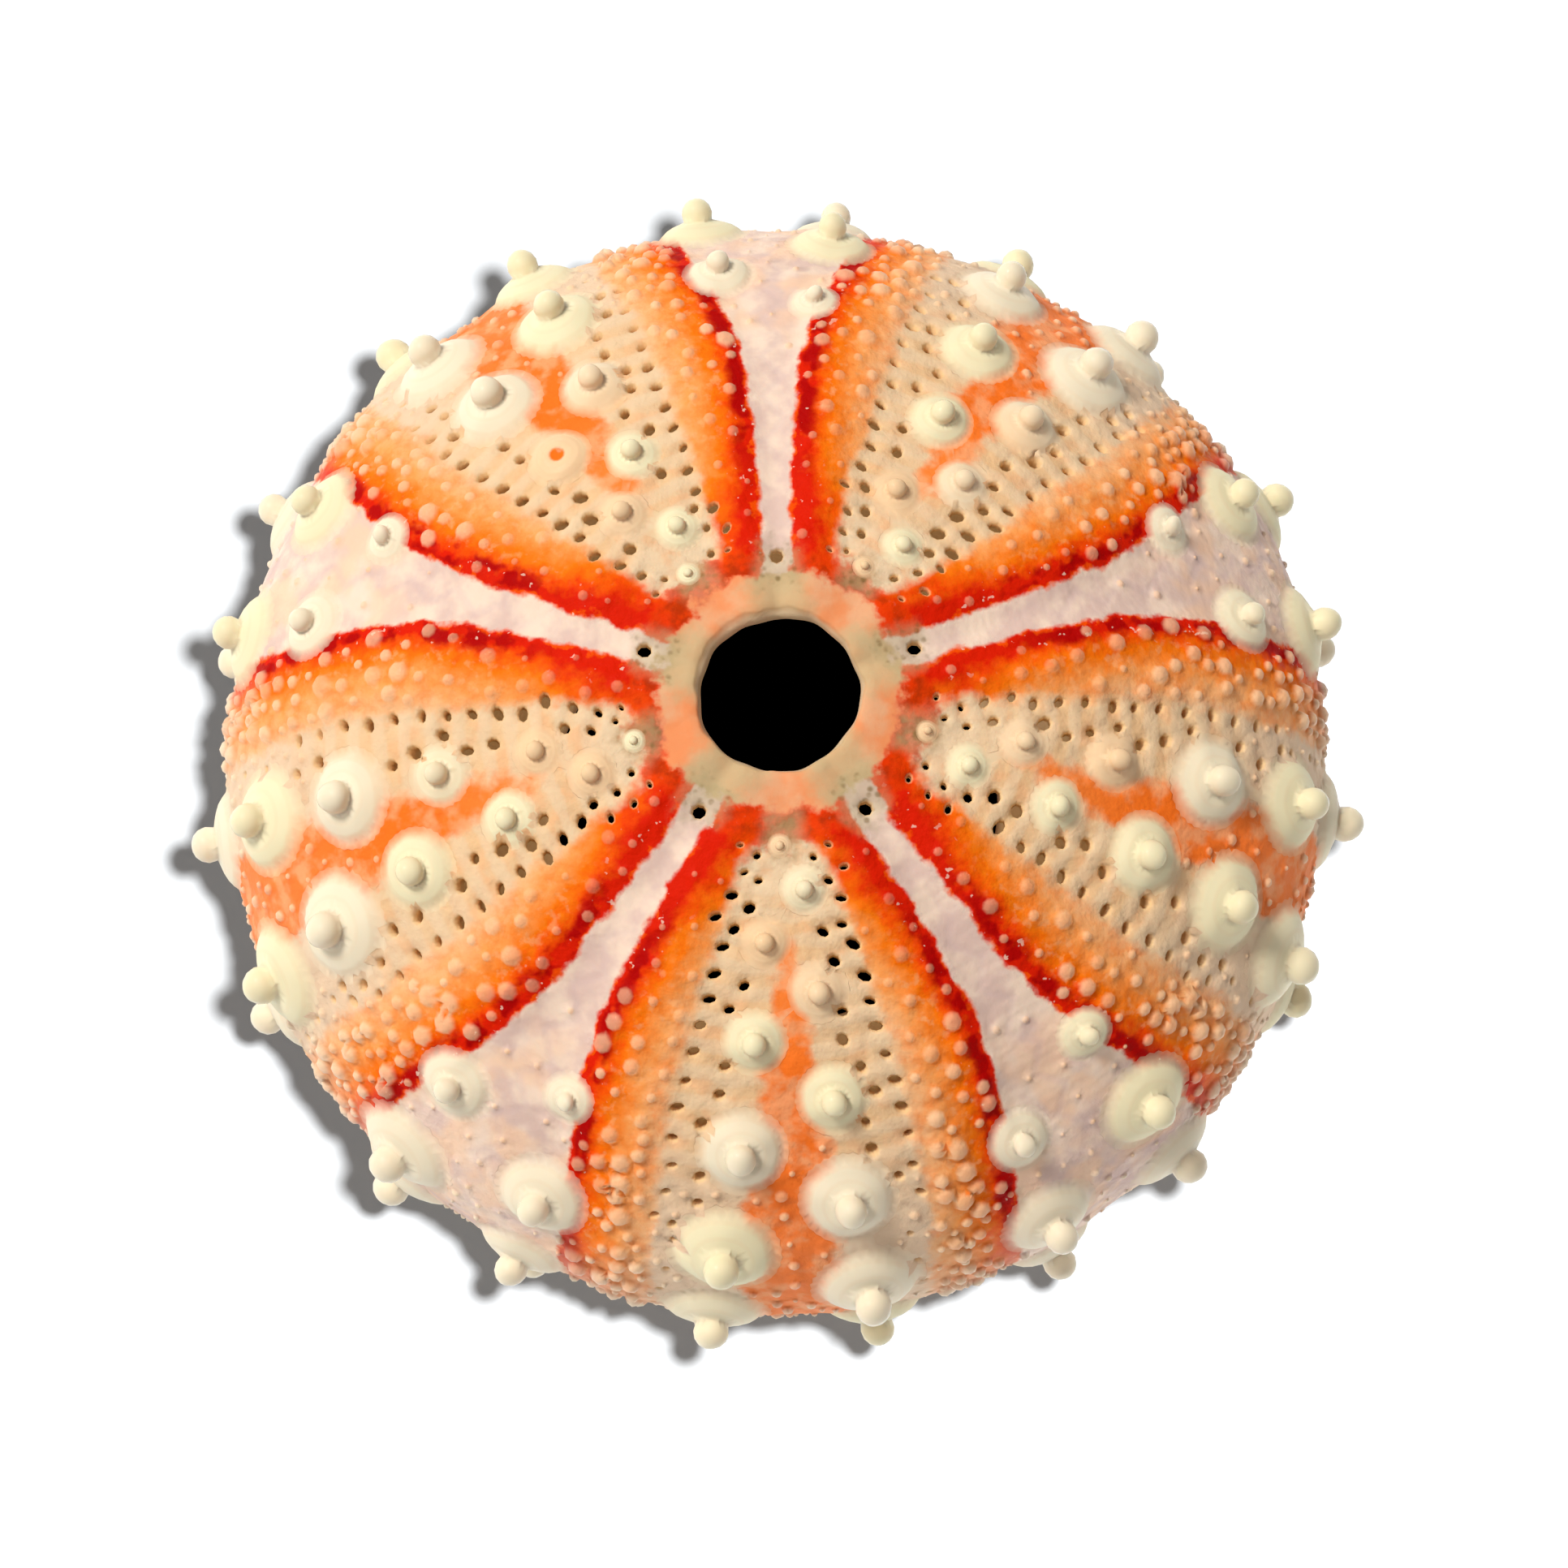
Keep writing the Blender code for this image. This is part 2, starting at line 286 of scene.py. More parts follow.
def tubercles():
    """Each tubercle as a dictionary; the two columns of a ray take turns."""
    found = []
    for ray in range(RAYS):
        for ambulacral in (True, False):
            middle = FIRST_AMBULACRUM + ray * RAY_STEP + (0.0 if ambulacral else HALF_STEP)
            side = -LEADING_SIDES[ray] if ambulacral else INTER_LEADING_SIDES[ray]
            for step, distance in enumerate(row(ROW_START if ambulacral else INTER_ROW_START)):
                size = base_diameter(distance)
                half = half_angle(distance, ambulacral)
                if ambulacral and step == 0:
                    size, half = FIRST_KNOB
                if not ambulacral:
                    size *= INTER_SIZES[min(step, 3)]
                size *= read(AREOLE, distance) * random.uniform(0.94, 1.06)
                distance += random.normal(0.0, 0.07)
                stray = math.degrees(random.normal(0.0, 0.06) / shell.radius_at(distance))
                found.append(dict(
                    ray=ray, ambulacral=ambulacral, side=side, s=distance, phi=middle + side * half + stray,
                    size=size, tint=random.uniform(0.0, 1.0), worn=False,
                ))
                side = -side
    return found


def settle_sizes(knobs):
    """Knobs give way to each other, so that no two feet overlap."""
    places = [shell.place(knob["s"], knob["phi"], 0.0) for knob in knobs]
    for index, knob in enumerate(knobs):
        for other in range(len(knobs)):
            if other != index:
                room = math.dist(places[index], places[other]) * 0.97
                excess = (knob["size"] + knobs[other]["size"]) / 2.0 - room
                if excess > 0.0:
                    knob["size"] -= excess
                    knobs[other]["size"] -= excess


def column(knobs, ray, side):
    return [knob for knob in knobs if knob["ambulacral"] and knob["ray"] == ray and knob["side"] == side]


def mark_worn(knobs):
    """One knob, a third of the way down the second ambulacrum, has lost its ball."""
    distance = 11.5
    worn = min(column(knobs, 1, 1), key=lambda knob: abs(knob["s"] - distance))
    worn["worn"] = True


class Cloud:
    """Vertices of one side of the shell, with their place on the flat map and their painted channels."""

    CHANNELS = {"boss": 2.0, "grain": 0.0, "tint": 0.0, "rim": 0.0}

    def __init__(self):
        self.parts = []
        self.count = 0

    def add(self, s, phi, lift, **more):
        """Adds vertices and returns their numbers; `more` is channels, or a place on the map of its own."""
        s = np.atleast_1d(np.asarray(s, float))
        part = dict(self.CHANNELS, s=s, phi=phi, lift=lift, map_s=s, map_phi=phi)
        part.update(more)
        for name, value in part.items():
            part[name] = np.broadcast_to(np.asarray(value, float), s.shape)
        self.parts.append(part)
        first = self.count
        self.count += len(s)
        return list(range(first, self.count))

    def stack(self, name):
        return np.concatenate([part[name] for part in self.parts])


def ring_offsets(s, phi, radius, count, turn=0.0):
    """A ring of places at a radius round a place."""
    angle = 2.0 * math.pi * (np.arange(count) + turn) / count
    ring_s = s + radius * np.cos(angle)
    return ring_s, phi + np.degrees(radius * np.sin(angle) / shell.radius_at(ring_s))


def knob_profile(knob):
    """Radii and lifts of a knob's rings as shares of its size, and how many of them lie below its neck."""
    stand = 0.78 + 0.22 * smooth(7.0, 19.0, knob["s"])
    ball = BALL_RADIUS * (1.18 - 0.20 * smooth(9.0, 20.0, knob["s"]))
    profile = BOSS + ((0.93 * ball, NECK_LIFT),)
    if knob["worn"]:
        points = [(radius, lift * 0.8) for radius, lift in profile] + list(WORN_TOP)
        return points + [(0.0, points[-1][1])], len(profile)
    points = [(radius, lift * stand) for radius, lift in profile]
    centre = NECK_LIFT + 0.012 - ball * math.sin(math.radians(BALL_ANGLES[0]))
    for angle in BALL_ANGLES:
        turn = math.radians(angle)
        lift = (centre + ball * math.sin(turn)) * stand
        points.append((ball * math.cos(turn), lift))
    return points + [(0.0, points[-1][1] + 0.006)], len(profile)


def add_tubercle(cloud, knob):
    size = knob["size"]
    points, neck = knob_profile(knob)
    reach = [0.0]
    for before, after in zip(points[::-1], points[::-1][1:]):
        reach.append(reach[-1] + math.dist(before, after))
    reach = [0.5 * size * length / reach[-1] for length in reach[::-1]]
    around_ball, fewest, more = (16, 15.0, 48.0) if size > BIG_KNOB else (12, 11.0, 30.0)
    for index, (radius, lift) in enumerate(points):
        if radius == 0.0:
            count = 1
        elif index >= neck:
            count = around_ball // 2 if index == len(points) - 2 else around_ball
        else:
            count = int(round(fewest + more * (radius - 0.14)))
        turn = 0.5 * (index % 2)
        map_s, map_phi = ring_offsets(knob["s"], knob["phi"], reach[index], count, turn)
        cloud.add(
            *ring_offsets(knob["s"], knob["phi"], radius * size, count, turn), lift * size,
            map_s=map_s, map_phi=map_phi,
            boss=reach[index] / (0.5 * size), tint=-1.0 if knob["worn"] else knob["tint"],
        )


# ---- Pores ----

PORE_SIDES = 8
FIRST_PORES = 5.2
LAST_PAIR = 18.2                    # pores come in pairs down to here
PAIR_LAG = 0.25                     # the inner pore of a pair lies this much further down
ORAL_PORES = (19.0, 37.0, 1.5)      # first, end and step of the single pores below
ORAL_PORE = (0.11, 0.085, 60.0)     # half length, half width and slant
GENITAL_PORE = (0.25, 0.23, 0.0)
GENITAL_AT = 4.7
ODD_PLACE = 0.05                    # random spread of a pore's place and slant
ODD_SLANT = 14.0


def pore_pair(s, near, middle, side):
    """An outer pore at the zone's edge, and an inner one that lies clear of the nearest knob."""
    grow = smooth(4.8, 8.0, s) * (1.0 - 0.3 * smooth(14.5, 18.0, s))
    clear = near["size"] / 2.0 + 0.17
    aside = math.sqrt(max(clear ** 2 - (near["s"] - s - PAIR_LAG) ** 2, (0.55 * clear) ** 2))
    inner = arc(s, half_angle(s, True)) + aside
    outer = max(arc(s, read(PORE_EDGE, s)) - 0.30, inner + 0.55)
    pair = []
    for distance, across, slant, wide in ((s, outer, 70.0, 0.68), (s + PAIR_LAG, inner, 48.0, 0.82)):
        distance += random.normal(0.0, ODD_PLACE)
        across += random.normal(0.0, ODD_PLACE)
        azimuth = middle + side * math.degrees(across / shell.radius_at(distance))
        long = 0.105 + 0.120 * grow + 0.02 * smooth(10.5, 9.0, s)
        long *= random.uniform(0.80, 1.15)
        wide = long * wide * random.uniform(0.9, 1.1)
        pair.append((distance, azimuth, long, wide, side * (slant + random.normal(0.0, ODD_SLANT))))
    return pair


def pore_list(knobs):
    """Each pore as (distance, azimuth, half length, half width, slant in degrees)."""
    pores = []
    for ray in range(RAYS):
        middle = FIRST_AMBULACRUM + ray * RAY_STEP
        for side in (-1, 1):
            beside = column(knobs, ray, side)
            s = 5.05 + random.uniform(0.0, 0.3)
            while s < LAST_PAIR:
                near = min(beside, key=lambda knob: abs(knob["s"] - s - PAIR_LAG))
                pores += pore_pair(s, near, middle, side)
                s += 0.80 + 0.022 * (s - 5.0)
            for s in np.arange(*ORAL_PORES).tolist():
                across = arc(s, half_angle(s, True)) + base_diameter(s) / 2.0 + 0.30
                azimuth = middle + side * math.degrees(across / shell.radius_at(s))
                pores.append((s, azimuth, ORAL_PORE[0], ORAL_PORE[1], side * ORAL_PORE[2]))
    for ray in range(RAYS):
        pores.append((GENITAL_AT, FIRST_AMBULACRUM + (ray + 0.5) * RAY_STEP) + GENITAL_PORE)
    return apart(pores)


def apart(pores, gap=0.22):
    """The pores that keep a gap to those before them in the list."""
    places = [shell.place(pore[0], pore[1], 0.0) for pore in pores]
    kept = []
    for index, pore in enumerate(pores):
        if all(math.dist(places[index], places[other]) > pore[2] + pores[other][2] + gap for other in kept):
            kept.append(index)
    return [pores[index] for index in kept]


def pore_ring(pore, grow, count):
    """A loop of points round a pore, at `grow` millimetres outside its edge."""
    s, phi, long, wide, slant = pore
    angle = 2.0 * math.pi * np.arange(count) / count
    along = (long + grow) * np.cos(angle)
    across = (wide + grow) * np.sin(angle)
    turn = math.radians(slant)
    ring_s = s + along * math.cos(turn) - across * math.sin(turn)
    side = along * math.sin(turn) + across * math.cos(turn)
    return ring_s, phi + np.degrees(side / shell.radius_at(ring_s))


# ---- Granules ----

# Spacing and radius of the granules against distance: in the bands, the middle strips and the naked wedges
BAND_SPACING = ((5.0, 1.4), (8.0, 1.15), (12.0, 0.86), (16.0, 0.66), (19.0, 0.58), (26.0, 0.60), (40.0, 0.8))
BAND_RADIUS = ((5.0, 0.17), (9.0, 0.23), (12.0, 0.29), (16.0, 0.34), (22.0, 0.32), (40.0, 0.19))
STRIP_SPACING = ((14.0, 1.1), (18.0, 0.72), (26.0, 0.72), (40.0, 0.9))
NAKED_SPACING = ((12.0, 2.2), (16.0, 1.25), (21.0, 0.9), (40.0, 0.9))
GRANULE_TRIES = 60000
GRANULE_FIRST = 5.2
GRANULE_CELL = 0.7                  # wider spacings than this are only roughly kept


def granule_spacing(s, phi):
    """Spacing and radius of granules at a place, or None where there are none."""
    off = abs(fold(phi))
    edge = arc(s, read(NAKED_EDGE, s) - off)
    pore = arc(s, read(PORE_EDGE, s) - off)
    axis = arc(s, off)
    if s < GRANULE_FIRST:
        return None
    if edge > 0.35 and pore < -0.25:
        return read(BAND_SPACING, s), read(BAND_RADIUS, s)
    if axis < read(STRIP_WIDTH, s) and s > 14.5:
        return read(STRIP_SPACING, s), 0.20
    if edge < -0.4 and s > 12.5:
        return read(NAKED_SPACING, s), 0.14
    if s > 16.5:
        return 0.78, 0.17
    return None


def solid_tree(solids):
    """A search tree over the places of `solids`, and their largest radius."""
    tree = KDTree(len(solids))
    for index, (s, phi, _) in enumerate(solids):
        tree.insert(shell.place(s, phi, 0.0), index)
    tree.balance()
    return tree, max(radius for _, _, radius in solids)


def granules(solids):
    """Granules scattered at their local spacing, clear of the knobs and pores in `solids`."""
    grid = {}

    def cell(point):
        return tuple(int(math.floor(value / GRANULE_CELL)) for value in point)

    def near(point):
        key = cell(point)
        for dx in (-1, 0, 1):
            for dy in (-1, 0, 1):
                for dz in (-1, 0, 1):
                    yield from grid.get((key[0] + dx, key[1] + dy, key[2] + dz), ())

    tree, reach = solid_tree(solids)
    draws_s = random.uniform(GRANULE_FIRST, 40.6, GRANULE_TRIES)
    draws_phi = random.uniform(0.0, 360.0, GRANULE_TRIES)
    keep = random.uniform(0.0, 1.0, GRANULE_TRIES) < shell.radius_at(draws_s) / AMBITUS_RADIUS
    places = shell.place(draws_s, draws_phi, 0.0)
    found = []
    for s, phi, wanted, point in zip(draws_s, draws_phi, keep, places):
        local = granule_spacing(s, phi) if wanted else None
        if local is None:
            continue
        spacing, radius = local
        radius *= random.uniform(0.50, 1.30)
        if any(math.dist(point, other) < spacing * 0.92 for other in near(point)):
            continue
        foot = radius * GRANULE_FOOT
        if any(gap < solids[index][2] + foot for _, index, gap in tree.find_range(point, reach + 0.4)):
            continue
        grid.setdefault(cell(point), []).append(tuple(point))
        found.append((s, phi, radius))
    return found


def add_granule(cloud, s, phi, radius):
    """A low round bump, which stands taller further down."""
    tall = radius * float(np.interp(s, (8.0, 15.0, 20.0), (0.42, 0.60, 0.80)))
    tint = random.uniform(0.0, 1.0)
    cloud.add(s, phi, tall, grain=1.0, tint=tint)
    cloud.add(*ring_offsets(s, phi, radius * 0.66, 6), tall * 0.70, grain=0.85, tint=tint)
    cloud.add(*ring_offsets(s, phi, radius * 1.12, 8, 0.5), -0.02, grain=0.25, tint=tint)


# ---- Surfaces ----

HOLE_POINTS = 120
MOUTH_POINTS = 240
OUTER_GAPS = ((20.0, 0.30), (28.0, 0.36), (60.0, 0.5))      # end and spacing of each stretch of points
INNER_GAP = 0.75
GRANULE_FOOT = 1.15                 # of a granule's radius


def outer_gap(s):
    return next(gap for end, gap in OUTER_GAPS if s < end)


def hole_edge(azimuth):
    """The apical hole is slightly out of round and chipped."""
    turn = np.radians(azimuth)
    uneven = 0.06 * np.sin(2.0 * turn + 0.6) + 0.035 * np.sin(5.0 * turn + 2.0) + 0.02 * np.sin(13.0 * turn)
    return APICAL_HOLE + uneven


def lip_edge(azimuth):
    """The outer edge of the apical hole's sloping lip, which is widest on one side."""
    turn = np.radians(azimuth)
    wide = 0.07 + 0.26 * np.maximum(np.cos(turn - math.radians(118.0)), 0.0) ** 1.5
    return hole_edge(azimuth) + wide + 0.03 * np.sin(9.0 * turn + 1.0) + 0.02 * np.sin(23.0 * turn)


def slope_edge(azimuth):
    """A line half way down the lip."""
    return 0.55 * lip_edge(azimuth) + 0.45 * hole_edge(azimuth)


def mouth_edge(azimuth):
    """The mouth has ten shallow gill notches, beside the interambulacra."""
    notch = smooth(0.75, 1.0, np.cos(np.radians((np.abs(fold(azimuth)) - 24.0) * 12.0)))
    return shell.end - 0.12 - 0.55 * notch


def add_fill(cloud, solids, spacing, margin, lift):
    """Staggered rings of points all over a surface, clear of the knobs, granules and pores in `solids`."""
    tree, reach = solid_tree(solids)
    s = APICAL_HOLE + 1.1
    shift = 0.0
    while s < shell.end - 1.15:
        gap = spacing(s)
        count = int(round(2.0 * math.pi * shell.radius_at(s) / gap))
        spread, away = 0.07 * gap, margin * gap
        stray = np.degrees(random.normal(0.0, spread, count) / shell.radius_at(s))
        azimuths = 360.0 * (np.arange(count) + shift) / count + stray
        distances = s + random.normal(0.0, spread, count)
        free = np.array([
            all(far > solids[index][2] + away for _, index, far in tree.find_range(point, reach + away))
            for point in shell.place(distances, azimuths, 0.0)
        ])
        if free.any():
            cloud.add(distances[free], azimuths[free], lift(distances[free]))
        s += gap * 0.87
        shift = 0.5 - shift


def edge_loop(cloud, edge, count, lift, shift=0.0, **channels):
    """A loop of points along an opening's edge."""
    azimuth = 360.0 * np.arange(count) / count
    return cloud.add(edge(azimuth) + shift, azimuth, lift, **channels)


def outside_pores(cloud, pores, loops, margin=0.05):
    """Which vertices stay: none that isn't of a pore's own edge may lie in the pore."""
    map_s = cloud.stack("map_s")
    map_phi = cloud.stack("map_phi")
    stays = np.ones(cloud.count, bool)
    for pore, loop in zip(pores, loops):
        s, phi, long, wide, slant = pore
        near = np.flatnonzero(np.abs(map_s - s) < 1.0)
        aside = np.radians((map_phi[near] - phi + 180.0) % 360.0 - 180.0) * shell.radius_at(map_s[near])
        away = map_s[near] - s
        turn = math.radians(slant)
        along = away * math.cos(turn) + aside * math.sin(turn)
        across = aside * math.cos(turn) - away * math.sin(turn)
        inside = (along / (long + margin)) ** 2 + (across / (wide + margin)) ** 2 < 1.0
        own = np.isin(near, loop)
        stays[near[inside & ~own]] = False
    return stays


def triangulate(cloud, pores, loops, top, bottom):
    """Triangles of the flat map, without those that would close a loop."""
    flat = shell.plane(cloud.stack("map_s"), cloud.stack("map_phi"))
    kept = np.flatnonzero(outside_pores(cloud, pores, loops))
    place = np.full(cloud.count, -1)
    place[kept] = np.arange(len(kept))
    edges = []
    owner = {}
    for number, loop in enumerate(loops + [top, bottom]):
        for vertex in loop:
            owner[vertex] = number
        edges += [(int(place[start]), int(place[end])) for start, end in zip(loop, loop[1:] + loop[:1])]
    points = [Vector(point) for point in flat[kept]]
    result = delaunay_2d_cdt(points, edges, [], 0, 1e-7, True)
    origin = [int(kept[ids[0]]) for ids in result[3]]
    triangles = []
    for face in result[2]:
        corners = tuple(origin[corner] for corner in face)
        if len({owner.get(corner, -1 - corner) for corner in corners}) > 1:
            triangles.append(corners)
    return triangles


def wall_faces(upper, lower):
    """Quads that join two loops which run the same way."""
    return list(zip(upper, upper[1:] + upper[:1], lower[1:] + lower[:1], lower))


def shell_mesh():
    """The whole closed shell with its painted channels."""
    knobs = tubercles()
    mark_worn(knobs)
    settle_sizes(knobs)
    pores = pore_list(knobs)
    knob_solids = [(knob["s"], knob["phi"], knob["size"] / 2.0) for knob in knobs]
    pore_solids = [(pore[0], pore[1], pore[2] + 0.10) for pore in pores]
    grains = granules(knob_solids + pore_solids)

    outer = Cloud()
    inner = Cloud()
    for knob in knobs:
        add_tubercle(outer, knob)
    outer_loops = []
    inner_loops = []
    deep_pores = [(pore[0] + upright_shift(pore[0]),) + tuple(pore[1:]) for pore in pores]
    for pore, deep in zip(pores, deep_pores):
        outer_loops.append(outer.add(*pore_ring(pore, 0.0, PORE_SIDES), -0.07, rim=1.0))
        outer.add(*pore_ring(pore, 0.10, PORE_SIDES), 0.012, rim=0.35)
        ring_s, ring_phi = pore_ring(deep, -0.005, PORE_SIDES)
        inner_loops.append(inner.add(ring_s, ring_phi, inner_lift(ring_s), rim=1.0))
    for s, phi, radius in grains:
        add_granule(outer, s, phi, radius)

    outer_solids = knob_solids + pore_solids + [(s, phi, radius * GRANULE_FOOT) for s, phi, radius in grains]
    add_fill(outer, outer_solids, outer_gap, 0.45, np.zeros_like)
    deep_solids = [(s + upright_shift(s), phi, radius) for s, phi, radius in pore_solids]
    add_fill(inner, deep_solids, lambda s: INNER_GAP, 0.35, inner_lift)

    top = edge_loop(outer, lip_edge, HOLE_POINTS, -0.04)
    edge_loop(outer, lip_edge, HOLE_POINTS, 0.02, shift=0.08)
    edge_loop(outer, lip_edge, HOLE_POINTS, 0.02, shift=0.34)
    walls = Cloud()
    top_middle = [
        edge_loop(walls, slope_edge, HOLE_POINTS, -0.20, rim=0.2),
        edge_loop(walls, hole_edge, HOLE_POINTS, -0.36, rim=0.3),
    ]
    top_inner = edge_loop(inner, hole_edge, HOLE_POINTS, -0.50, shift=0.06)
    edge_loop(inner, hole_edge, HOLE_POINTS, inner_lift(3.0), shift=0.32)
    bottom = edge_loop(outer, mouth_edge, MOUTH_POINTS, -0.10)
    edge_loop(outer, mouth_edge, MOUTH_POINTS, 0.0, shift=-0.18)
    bottom_inner = edge_loop(inner, mouth_edge, MOUTH_POINTS, -WALL + 0.15)
    edge_loop(inner, mouth_edge, MOUTH_POINTS, -WALL, shift=-0.22)

    faces = triangulate(outer, pores, outer_loops, top, bottom)
    under = triangulate(inner, deep_pores, inner_loops, top_inner, bottom_inner)
    base = outer.count
    faces += [tuple(base + corner for corner in reversed(triangle)) for triangle in under]
    for upper, lower in zip(outer_loops, inner_loops):
        faces += wall_faces(upper, [base + corner for corner in lower])
    last = base + inner.count
    rungs = [top] + [[last + corner for corner in loop] for loop in top_middle]
    rungs.append([base + corner for corner in top_inner])
    for upper, lower in zip(rungs, rungs[1:]):
        faces += wall_faces(upper, lower)
    faces += wall_faces(bottom[::-1], [base + corner for corner in bottom_inner[::-1]])

    clouds = (outer, inner, walls)
    names = ["s", "phi", "lift"] + list(Cloud.CHANNELS)
    painted = {name: np.concatenate([cloud.stack(name) for cloud in clouds]) for name in names}
    s, phi, lift = (painted.pop(name) for name in names[:3])
    is_inner = np.concatenate([np.full(cloud.count, share) for cloud, share in zip(clouds, (0.0, 1.0, 0.6))])
    points = shell.place(s, phi, lift + relief(s, phi) * (1.0 - 0.7 * is_inner))
    points[:, 2] = np.maximum(points[:, 2] + (MOUTH_DROP + STAND), 0.0)

    off = np.abs(fold(phi))
    channels = {
        **painted,
        "span": s,
        "edge": arc(s, read(NAKED_EDGE, s) - off),
        "pore_zone": arc(s, read(PORE_EDGE, s) - off),
        "axis": arc(s, off),
        "strip": read(STRIP_WIDTH, s) - arc(s, off),
        "naked_axis": arc(s, HALF_STEP - off),
        "seam": arc(s, (HALF_STEP - off) * np.where(fold(phi) < 0.0, -1.0, 1.0)),
        "inside": is_inner,
        "pore_row": pore_row(np.maximum(s, 4.5)),
    }
    used = np.unique(np.concatenate([np.array(face) for face in faces]))
    renumber = np.full(len(points), -1)
    renumber[used] = np.arange(len(used))
    faces = [tuple(renumber[list(face)].tolist()) for face in faces]
    return points[used], faces, {name: values[used] for name, values in channels.items()}


def add_object(name, data):
    made = bpy.data.objects.new(name, data)
    bpy.context.scene.collection.objects.link(made)
    return made


def make_shell():
    """The shell as one object in metres, with its channels as attributes."""
    points, faces, channels = shell_mesh()
    mesh = bpy.data.meshes.new("urchin_shell")
    mesh.from_pydata((points * UNIT).tolist(), [], faces)
    mesh.validate()
    for name, values in channels.items():
        attribute = mesh.attributes.new(name, "FLOAT", "POINT")
        attribute.data.foreach_set("value", np.ascontiguousarray(values, dtype=np.float32))
    mesh.shade_smooth()
    return add_object("urchin_shell", mesh)


# ---- Material ----

def colour(red, green, blue):
    """Linear colour of an sRGB one given in bytes."""
    shares = (value / 255.0 for value in (red, green, blue))
    return tuple(v / 12.92 if v <= 0.04045 else ((v + 0.055) / 1.055) ** 2.4 for v in shares) + (1.0,)


def grey(level):
    return (level, level, level, 1.0)


IVORY = colour(244, 233, 208)
GREEN_IVORY = colour(243, 234, 198)
PEACH_IVORY = colour(244, 204, 158)
NAKED_WHITE = colour(247, 223, 205)
NAKED_LILAC = colour(226, 198, 188)
NAKED_PEACH = colour(249, 208, 176)
PORE_CREAM = colour(236, 196, 150)
PORE_PALE = colour(236, 211, 178)
PORE_PEACH = colour(241, 184, 136)
TIP_OLIVE = colour(156, 116, 64)
PORE_WALL = colour(238, 202, 148)
BORDER_RED = colour(222, 30, 0)
BLOTCH_RED = colour(178, 2, 0)
BORDER_VERMILION = colour(243, 80, 0)
CORNER_RED = colour(234, 62, 0)
BAND_ORANGE = colour(250, 122, 12)
BAND_PALE = colour(252, 165, 92)
BAND_PEACH = colour(248, 190, 138)
STRIP_ORANGE = colour(253, 120, 34)
STRIP_SALMON = colour(251, 140, 80)
STRIP_PALE = colour(252, 178, 128)
AMBITAL_CREAM = colour(233, 204, 174)
AMBITAL_PINK = colour(231, 174, 140)
APICAL_SALMON = colour(241, 152, 100)
APICAL_PINK = colour(237, 178, 136)
APICAL_CREAM = colour(206, 182, 140)
APICAL_GREEN = colour(178, 166, 126)
PIT_OLIVE = colour(126, 100, 56)
# Colour of the painted shadow line along the apical ring's outer edge
RING_SHADOW_RED = colour(150, 44, 4)
GRAIN_PEACH = colour(255, 208, 168)
INSIDE_CREAM = colour(246, 224, 188)
SUTURE = colour(206, 180, 184)


